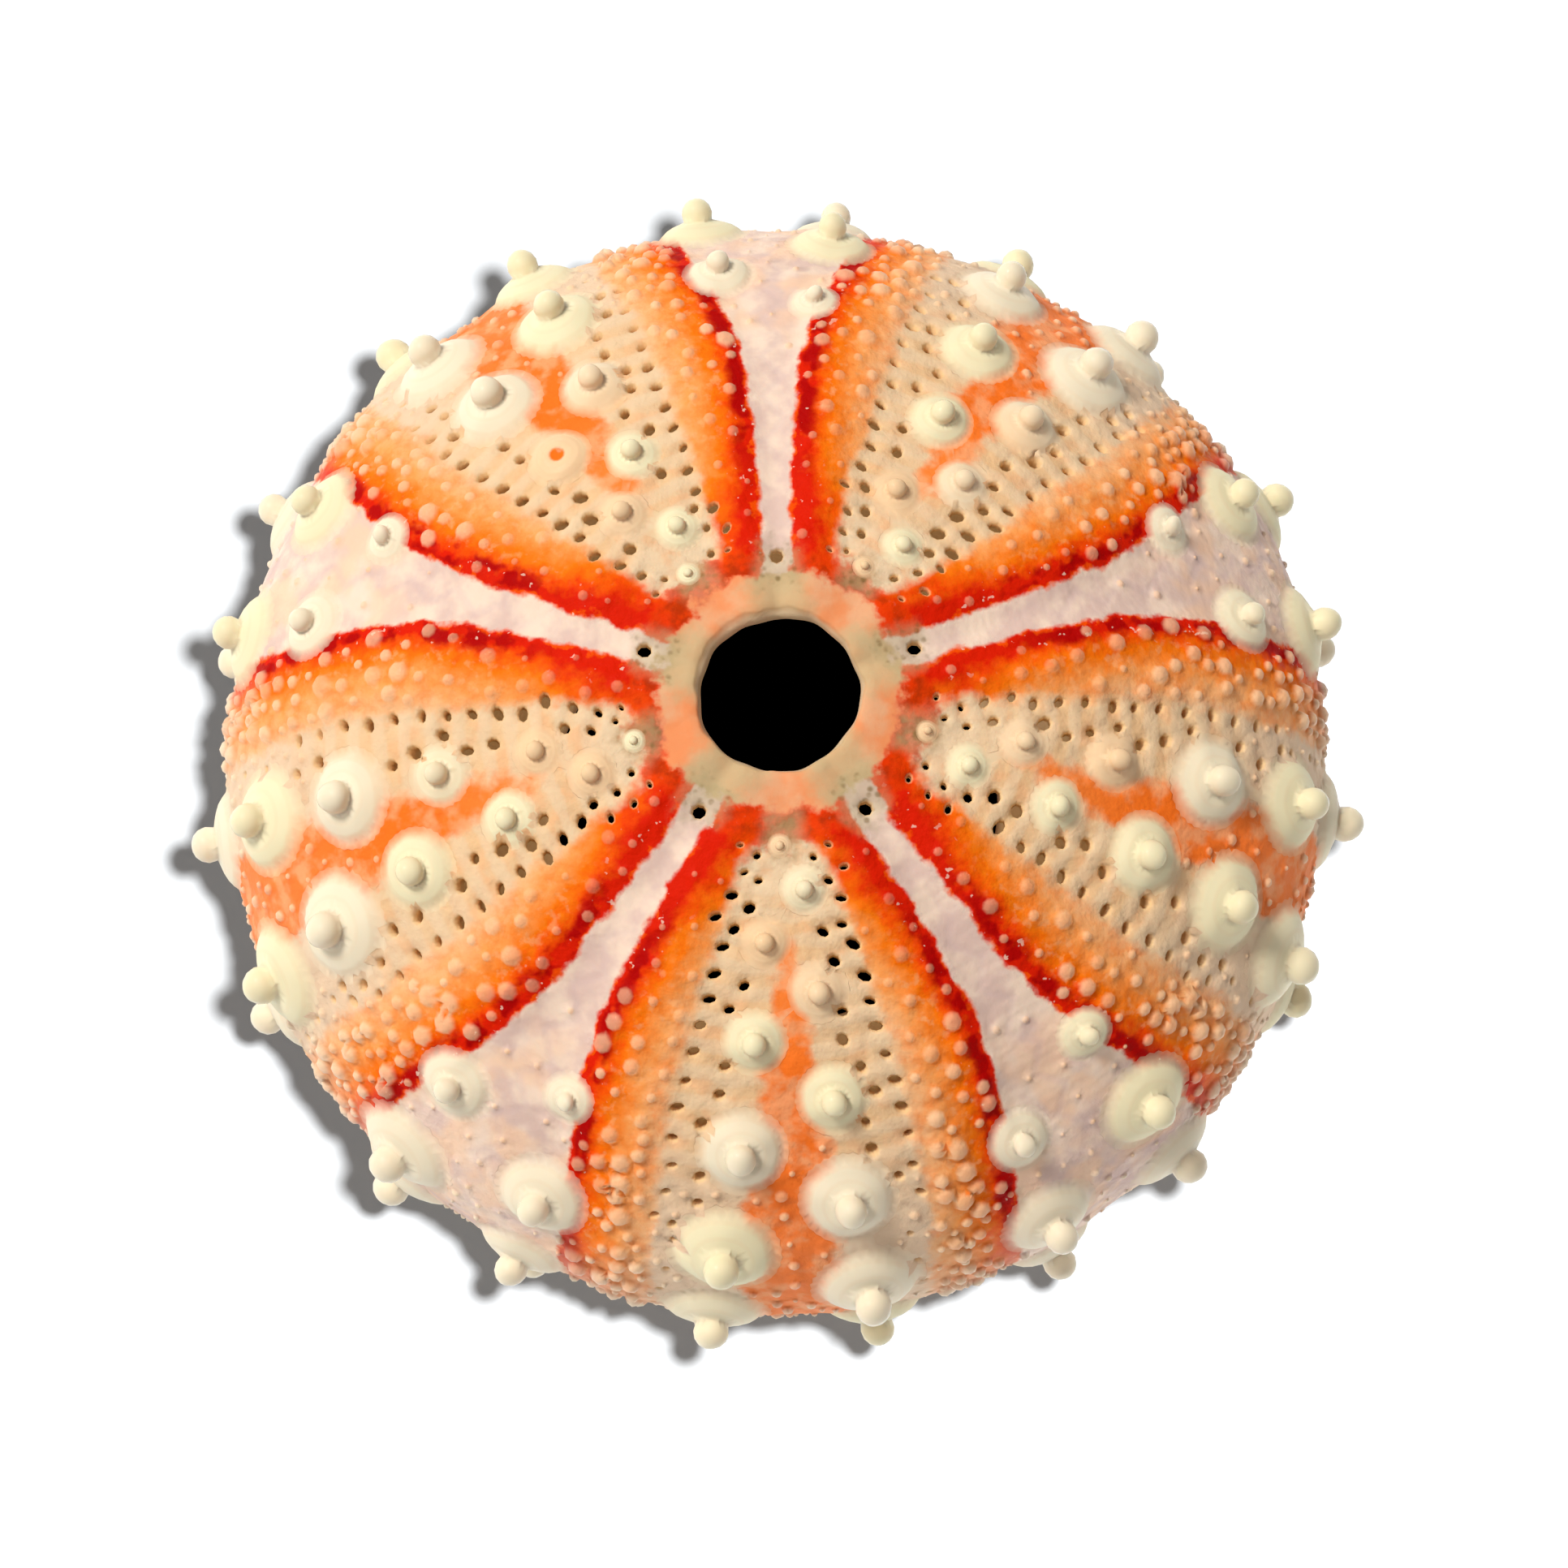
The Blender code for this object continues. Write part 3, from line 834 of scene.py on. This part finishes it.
class Graph:
    """Short names for the shader nodes that the materials need."""

    def __init__(self, tree):
        self.tree = tree
        self.coordinates = self.make("ShaderNodeTexCoord", {}).outputs["Object"]

    def make(self, kind, inputs, **settings):
        node = self.tree.nodes.new(kind)
        for name, value in settings.items():
            setattr(node, name, value)
        self.feed(node, inputs)
        return node

    def feed(self, node, inputs):
        """Links or sets a node's input sockets."""
        for name, value in inputs.items():
            if isinstance(value, bpy.types.NodeSocket):
                self.tree.links.new(value, node.inputs[name])
            else:
                node.inputs[name].default_value = value

    def channel(self, name):
        return self.make("ShaderNodeAttribute", {}, attribute_name=name).outputs["Fac"]

    def math(self, operation, first, second=0.0):
        return self.make("ShaderNodeMath", {0: first, 1: second}, operation=operation).outputs[0]

    def step(self, value, low, high):
        """From 0 at low to 1 at high, smoothly; low may be the greater of the two."""
        low, high, at_low, at_high = (high, low, 1.0, 0.0) if low > high else (low, high, 0.0, 1.0)
        inputs = {0: value, 1: low, 2: high, 3: at_low, 4: at_high}
        return self.make("ShaderNodeMapRange", inputs, interpolation_type="SMOOTHSTEP").outputs[0]

    def noise(self, size, detail=2.0, roughness=0.5, shift=0.0):
        """Noise between 0 and 1 whose bumps are about `size` millimetres."""
        moved = {0: self.coordinates, 1: (shift, shift, shift)}
        place = self.make("ShaderNodeVectorMath", moved, operation="ADD").outputs[0]
        inputs = {"Vector": place, "Scale": 1000.0 / size, "Detail": detail, "Roughness": roughness}
        return self.make("ShaderNodeTexNoise", inputs).outputs["Fac"]

    def cells(self, size):
        """Distance from the middle of the nearest of many round cells, in shares of their size."""
        inputs = {"Vector": self.coordinates, "Scale": 1000.0 / size}
        return self.make("ShaderNodeTexVoronoi", inputs).outputs["Distance"]

    def mix(self, share, first, second):
        inputs = {0: share, 6: first, 7: second}
        return self.make("ShaderNodeMix", inputs, data_type="RGBA", clamp_factor=True).outputs[2]

    def paint(self, under, over, *shares):
        """One colour over another, as far as the product of the shares."""
        return self.mix(self.times(*shares), under, over)

    def ramp(self, value, stops):
        """Colour against a value, from (value, colour) stops over the range they span."""
        low, high = stops[0][0], stops[-1][0]
        scaled = self.make("ShaderNodeMapRange", {0: value, 1: low, 2: high, 3: 0.0, 4: 1.0})
        node = self.make("ShaderNodeValToRGB", {0: scaled.outputs[0]})
        elements = node.color_ramp.elements
        while len(elements) < len(stops):
            elements.new(0.5)
        for element, (place, shade) in zip(elements, stops):
            element.position = (place - low) / (high - low)
            element.color = shade
        return node.outputs["Color"]

    def times(self, *values):
        return functools.reduce(functools.partial(self.math, "MULTIPLY"), values)

    def plus(self, *values):
        return functools.reduce(functools.partial(self.math, "ADD"), values)

    def wander(self, value, size, reach, shift=0.0):
        """A value in millimetres, pushed about by noise."""
        noise = self.math("SUBTRACT", self.noise(size, detail=3.0, shift=shift), 0.5)
        return self.plus(value, self.times(noise, 2.0 * reach))


def naked_seam(g):
    """The zigzag seam down the middle of each interambulacrum."""
    zigzag = g.math("PINGPONG", g.channel("span"), 0.9)
    zigzag = g.times(g.math("SUBTRACT", zigzag, 0.45), 0.8)
    aside = g.math("ABSOLUTE", g.math("SUBTRACT", g.wander(g.channel("seam"), 0.7, 0.12, 0.1), zigzag))
    return g.times(g.step(aside, 0.30, 0.02), g.step(g.channel("span"), 7.5, 10.0))


def shell_colour(g):
    """The colour of the outer surface, zone over zone.

    The steps are in millimetres: `span` and `apex` from the apex, the others from the edge or axis of a zone.
    """
    span = g.channel("span")
    edge = g.wander(g.wander(g.channel("edge"), 0.9, 0.34, 0.3), 0.22, 0.10, 0.7)
    pore_zone = g.wander(g.wander(g.channel("pore_zone"), 1.1, 0.5, 0.5), 0.3, 0.22, 0.1)
    strip = g.wander(g.wander(g.channel("strip"), 1.1, 0.8, 0.2), 0.35, 0.25, 0.05)
    soft = g.noise(1.6, shift=0.9)
    fine = g.noise(0.35, detail=3.0, shift=0.4)

    naked = g.mix(g.step(g.noise(1.3, detail=3.0, shift=0.15), 0.38, 0.62), NAKED_WHITE, NAKED_LILAC)
    naked = g.paint(naked, NAKED_PEACH, g.step(span, 12.0, 15.5), g.step(soft, 0.42, 0.62), 0.7)
    naked = g.paint(naked, SUTURE, naked_seam(g), 0.22)

    narrow = g.plus(1.0, g.times(g.step(span, 8.6, 6.2), -0.45))
    mottled_edge = g.times(g.wander(g.wander(edge, 0.55, 0.55, 0.33), 0.25, 0.2, 0.13), narrow)
    band = g.ramp(mottled_edge, (
        (0.0, BORDER_VERMILION), (0.08, BORDER_RED), (0.42, BORDER_RED), (0.80, BORDER_VERMILION),
        (1.30, BAND_ORANGE), (2.1, BAND_PALE), (3.1, BAND_PEACH),
    ))
    band = g.paint(
        band, BLOTCH_RED,
        g.step(edge, 0.05, 0.25), g.step(edge, 0.90, 0.5), g.step(g.noise(0.9, shift=0.6), 0.43, 0.54),
        g.step(span, 7.0, 10.0), g.step(span, 21.0, 19.0),
    )
    mottle = g.step(g.noise(0.7, detail=4.0, roughness=0.6, shift=0.25), 0.40, 0.68)
    past_border = g.step(edge, 0.6, 1.2)
    band = g.paint(band, BAND_ORANGE, mottle, past_border, 0.42)
    band = g.paint(band, BAND_PEACH, g.step(fine, 0.52, 0.70), past_border, g.step(span, 6.5, 11.0), 0.35)
    # Sparse white specks near the red borders.
    white_specks = g.step(g.noise(0.30, shift=0.77), 0.68, 0.72)
    band = g.paint(band, NAKED_WHITE, white_specks, g.step(edge, 1.4, 0.4), 0.6)
    band = g.paint(band, AMBITAL_PINK, g.step(span, 19.0, 25.0), 0.75)

    cream = g.mix(g.step(span, 8.0, 5.2), PORE_CREAM, PORE_PALE)
    cream = g.paint(cream, PORE_PALE, g.step(soft, 0.35, 0.7), 0.4)
    cream = g.paint(cream, PORE_PEACH, g.step(g.noise(0.8, detail=3.0, shift=0.62), 0.46, 0.66), 0.55)
    rows = g.times(g.wander(g.channel("pore_row"), 0.9, 0.25, 0.48), math.pi)
    between = g.math("ABSOLUTE", g.math("SINE", rows))
    cream = g.paint(cream, PORE_PALE, g.step(between, 0.45, 0.95), 0.55)
    cream = g.paint(cream, AMBITAL_CREAM, g.step(span, 14.0, 19.0))
    stripe = g.mix(g.step(span, 13.0, 24.0), STRIP_ORANGE, STRIP_SALMON)
    stripe = g.paint(stripe, BAND_PALE, g.step(span, 13.5, 9.0), 0.30)

    skin = g.mix(g.step(edge, -0.10, 0.10), naked, band)
    skin = g.paint(skin, cream, g.step(pore_zone, -0.25, 0.35))
    stripe = g.paint(stripe, STRIP_PALE, g.step(g.noise(0.9, detail=3.0, shift=0.31), 0.44, 0.66), 0.7)
    skin = g.paint(skin, stripe, g.step(strip, -0.25, 0.45), g.step(span, 7.5, 8.8))
    outer_side = g.times(g.step(span, 22.0, 27.0), g.step(g.wander(span, 2.2, 3.0, 0.8), 20.5, 26.0))
    skin = g.paint(skin, g.mix(soft, AMBITAL_CREAM, AMBITAL_PINK), outer_side, 0.8)

    apex = g.wander(g.wander(span, 1.1, 0.85, 0.35), 0.32, 0.42, 0.65)
    naked_axis = g.channel("naked_axis")
    cloud = g.noise(1.1, detail=3.0, shift=0.45)
    plate = g.step(g.wander(g.wander(naked_axis, 0.9, 0.6, 0.75), 0.25, 0.25, 0.95), 1.6, 0.5)
    ring = g.mix(g.step(cloud, 0.35, 0.68), APICAL_SALMON, APICAL_PINK)
    ring = g.paint(ring, APICAL_CREAM, plate, g.plus(0.55, g.times(cloud, 0.6)))
    skin = g.paint(skin, CORNER_RED, g.step(apex, 5.2, 4.8), g.step(edge, -0.05, 0.10), 0.8)
    # A painted shadow line in dark red-brown along the outer edge of the apical ring.
    ring_shadow = g.times(g.step(apex, 4.0, 4.3), g.step(apex, 5.0, 4.4), g.step(edge, 0.1, 0.5))
    skin = g.paint(skin, RING_SHADOW_RED, ring_shadow, g.step(g.noise(0.6, detail=3.0, shift=0.85), 0.42, 0.62), 0.6)
    tip_axis = g.wander(g.channel("axis"), 0.5, 0.3, 0.55)
    tip = g.times(g.step(tip_axis, 1.0, 0.2), g.step(apex, 3.9, 4.5), g.step(apex, 5.9, 4.8))
    skin = g.paint(skin, TIP_OLIVE, tip, g.step(g.noise(0.4, detail=3.0, shift=0.5), 0.3, 0.6), 0.6)
    skin = g.paint(skin, ring, g.step(apex, 4.25, 3.85))
    beside = g.step(g.wander(naked_axis, 0.5, 0.3, 0.25), 1.1, 0.5)
    pitted = g.times(g.step(apex, 3.3, 3.9), g.step(apex, 5.4, 4.7), g.math("MAXIMUM", beside, tip))
    skin = g.paint(skin, APICAL_GREEN, pitted, 0.45)
    pits = g.times(g.step(g.cells(0.30), 0.50, 0.14), g.step(g.noise(0.5, shift=0.22), 0.35, 0.6))
    return g.paint(skin, PIT_OLIVE, pits, pitted, 0.7)


def add_knob_colour(g, skin):
    """Ivory knobs, whose feet take the colour beside them, and peach granules."""
    boss = g.channel("boss")
    tint = g.channel("tint")
    ivory = g.mix(g.step(tint, 0.55, 0.75), IVORY, GREEN_IVORY)
    young = g.times(g.step(g.channel("span"), 15.0, 11.5), g.step(tint, 0.75, 0.35))
    ivory = g.paint(ivory, PEACH_IVORY, young, 0.8)
    ivory = g.paint(ivory, STRIP_ORANGE, g.step(tint, -0.2, -0.8), g.step(boss, 0.26, 0.16))
    core = g.wander(boss, 0.6, 0.07, 0.35)
    skin = g.paint(skin, ivory, g.step(core, 1.03, 0.97), 0.25)
    skin = g.paint(skin, ivory, g.step(core, 0.98, 0.86), 0.35)
    skin = g.paint(skin, ivory, g.step(core, 0.90, 0.74))
    terraces = g.math("SINE", g.times(boss, 34.0))
    terraces = g.times(g.step(terraces, 0.3, 1.0), g.step(boss, 0.98, 0.85), g.step(boss, 0.30, 0.40), 0.09)
    skin = g.paint(skin, PORE_CREAM, terraces)
    grain_colour = g.mix(g.step(g.channel("span"), 17.0, 24.0), GRAIN_PEACH, IVORY)
    far = g.step(g.channel("span"), 8.0, 15.0)
    pale = g.times(g.plus(0.38, g.times(tint, 0.4)), g.plus(0.45, g.times(far, 0.55)))
    return g.paint(skin, grain_colour, g.step(g.channel("grain"), 0.30, 0.85), pale)


def add_inside_colour(g, skin):
    """Tan pore walls, and a plain cream inner surface."""
    rim = g.channel("rim")
    inner = g.mix(g.noise(2.5, detail=4.0), INSIDE_CREAM, PORE_PALE)
    skin = g.paint(skin, PORE_WALL, g.step(rim, 0.5, 1.0), 0.6)
    return g.mix(g.channel("inside"), skin, g.mix(g.step(rim, 0.2, 0.9), inner, PORE_WALL))


def shell_bump(g):
    """Height in millimetres of the detail finer than the mesh."""
    span = g.channel("span")
    boss = g.channel("boss")
    bare = g.step(boss, 1.0, 1.06)
    naked = g.times(g.step(g.channel("edge"), 0.0, -0.25), g.step(span, 20.0, 16.0))
    lines = g.math("SINE", g.times(g.wander(span, 1.4, 0.5, 0.2), 15.0))
    height = g.times(naked, lines, 0.003)
    height = g.plus(height, g.times(naked, naked_seam(g), -0.012))
    apical = g.step(span, 4.5, 4.0)
    rough = g.times(bare, g.plus(1.0, g.times(naked, -0.75)), g.plus(1.0, g.times(apical, -0.6)))
    grit = g.math("SUBTRACT", g.noise(0.16, detail=3.0, roughness=0.6), 0.5)
    height = g.plus(height, g.times(grit, rough, 0.016))
    lumps = g.math("SUBTRACT", g.noise(0.55, detail=3.0, shift=0.5), 0.5)
    height = g.plus(height, g.times(lumps, rough, 0.11))
    terraces = g.math("SINE", g.times(boss, 34.0))
    return g.plus(height, g.times(terraces, g.step(boss, 0.8, 0.7), g.step(boss, 0.36, 0.44), 0.003))


def shell_material():
    """Calcite: matt plates, and knobs and granules that shine a little."""
    material = bpy.data.materials.new("urchin_calcite")
    material.use_nodes = True
    g = Graph(material.node_tree)
    boss = g.channel("boss")
    ball = g.times(g.step(boss, 0.30, 0.20), 0.16)
    polish = g.plus(g.times(g.step(boss, 0.9, 0.4), 0.36), ball, g.times(g.channel("grain"), 0.40))
    uneven = g.times(g.math("SUBTRACT", g.noise(0.4, shift=0.8), 0.5), 0.25)
    bump = g.make("ShaderNodeBump", {"Strength": 1.0, "Distance": 0.001, "Height": shell_bump(g)})
    g.feed(material.node_tree.nodes["Principled BSDF"], {
        "Base Color": add_inside_colour(g, add_knob_colour(g, shell_colour(g))),
        "Roughness": g.math("SUBTRACT", g.plus(0.68, uneven), polish),
        "Normal": bump.outputs[0],
        "Subsurface Weight": 0.12,
        "Subsurface Radius": (1.0, 0.55, 0.35),
        "Subsurface Scale": 0.0006,
        "Specular IOR Level": 0.06,
    })
    return material


# ---- Studio ----

CAMERA_DISTANCE = 4.385             # from the middle of the widest level, in shell radii
CAMERA_TILT = 11.04                 # degrees from straight above, towards -Y
CAMERA_SIDE_TILT = 0.82
CAMERA_ROLL = 1.32
CAMERA_SHIFT = (0.0121, -0.0442)    # sideways and upwards, in shell radii
LENS = 54.5
SENSOR = 36.0
FLOOR_REACH = 4.0
# Near the shell the floor is painted darker, a painted shade that deepens the shell's cast shadow; its bluish
# tint cancels the warm light bounced off the shell.
PAINTED_SHADE_FLOOR = (0.335, 0.345, 0.355, 1.0)
SHADED_FLOOR = (0.026, 0.060)       # radii, in metres, between which the painted shade near the shell gives way to the paler floor
PAINTED_SHADOW_EDGE = (0.0098, 0.0108)        # radii, in metres, of the soft edge of the painted black shadow under the shell's mouth
# Lights: place, size, power and colour; the first three shine on the shell only, the others on the floor only
SHELL_LIGHTS = {
    "key": ((-0.225, 0.165, 0.385), 0.14, 1.70, (1.0, 0.955, 0.88)),
    "fill": ((0.02, -0.04, 0.44), 0.50, 0.33, (1.0, 0.84, 0.70)),
    "glint": ((-0.200, -0.050, 0.430), 0.02, 0.30, (1.0, 0.97, 0.92)),
}
FLOOR_LIGHTS = {
    "floor_light": ((0.0062, -0.0132, 0.096), 0.005, 0.315, (1.0, 1.0, 1.0)),
    "high_light": ((0.0, -0.5, 3.0), 0.30, 27.0, (1.0, 1.0, 1.0)),
}
AIM = (0.0, 0.0, 0.01)


def make_floor():
    """A pale floor, painted darker near the shell as painted shade that deepens its cast shadow, with a
    painted black shadow under the shell's mouth so that its openings look black.
    """
    mesh = bpy.data.meshes.new("floor")
    corners = [(x * FLOOR_REACH, y * FLOOR_REACH, 0.0) for x, y in ((-1, -1), (1, -1), (1, 1), (-1, 1))]
    mesh.from_pydata(corners, [], [(0, 1, 2, 3)])
    floor = add_object("floor", mesh)
    material = bpy.data.materials.new("pale_floor")
    material.use_nodes = True
    g = Graph(material.node_tree)
    reach = g.make("ShaderNodeVectorMath", {0: g.coordinates}, operation="LENGTH").outputs["Value"]
    # Painted shade near the shell, fading out to the pale floor further away.
    pale = g.mix(g.step(reach, *SHADED_FLOOR), PAINTED_SHADE_FLOOR, grey(0.93))
    g.feed(material.node_tree.nodes["Principled BSDF"], {
        # Painted black shadow under the shell's mouth, over the floor's own tone.
        "Base Color": g.mix(g.step(reach, *PAINTED_SHADOW_EDGE), grey(0.0), pale),
        "Roughness": 0.9,
        "Specular IOR Level": 0.0,
    })
    mesh.materials.append(material)
    return floor


def make_camera():
    """The camera looks down on the shell, a little from its -Y side."""
    turn = (
        Matrix.Rotation(math.radians(-CAMERA_SIDE_TILT), 3, "Y")
        @ Matrix.Rotation(math.radians(CAMERA_TILT), 3, "X")
        @ Matrix.Rotation(math.radians(-CAMERA_ROLL), 3, "Z")
    )
    middle = Vector((0.0, 0.0, (MOUTH_DROP + STAND) * UNIT))
    place = middle + AMBITUS_RADIUS * UNIT * (turn @ Vector((*CAMERA_SHIFT, CAMERA_DISTANCE)))
    data = bpy.data.cameras.new("camera")
    data.lens = LENS
    data.sensor_width = SENSOR
    data.clip_start = 0.001
    camera = add_object("camera", data)
    camera.matrix_world = Matrix.Translation(place) @ turn.to_4x4()
    bpy.context.scene.camera = camera


def link_light(data, place, shown):
    """A light that only the object `shown` receives."""
    light = add_object(data.name, data)
    light.location = place
    light.visible_camera = False
    receivers = bpy.data.collections.new(data.name + "_receivers")
    receivers.objects.link(shown)
    light.light_linking.receiver_collection = receivers
    return light


def add_lights(lights, shown):
    """Round soft lights that aim at the shell."""
    for name, (place, size, power, tone) in lights.items():
        data = bpy.data.lights.new(name, "AREA")
        data.shape = "DISK"
        data.size = size
        data.energy = power
        data.color = tone
        light = link_light(data, place, shown)
        light.rotation_euler = (Vector(AIM) - Vector(place)).to_track_quat("-Z", "Y").to_euler()


def add_glow(piece):
    """Light that comes through the thin walls, as one weak round light in the hollow."""
    data = bpy.data.lights.new("glow", "POINT")
    data.shadow_soft_size = 0.004
    data.energy = 0.0010
    data.color = (1.0, 0.86, 0.66)
    link_light(data, AIM, piece)


def make_world():
    """A dim sky that is paler at the horizon."""
    world = bpy.data.worlds.new("studio")
    world.use_nodes = True
    g = Graph(world.node_tree)
    direction = g.make("ShaderNodeTexCoord", {}).outputs["Generated"]
    height = g.make("ShaderNodeSeparateXYZ", {0: direction}).outputs["Z"]
    sky = g.mix(g.step(height, 0.16, 0.02), grey(0.14), grey(0.36))
    g.feed(world.node_tree.nodes["Background"], {"Color": sky, "Strength": 1.0})
    bpy.context.scene.world = world
    bpy.context.scene.view_settings.view_transform = "Standard"


def main():
    piece = make_shell()
    piece.data.materials.append(shell_material())
    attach(piece, "root")
    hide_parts(NODE)
    floor = make_floor()
    make_camera()
    add_lights(SHELL_LIGHTS, piece)
    add_lights(FLOOR_LIGHTS, floor)
    add_glow(piece)
    make_world()


main()
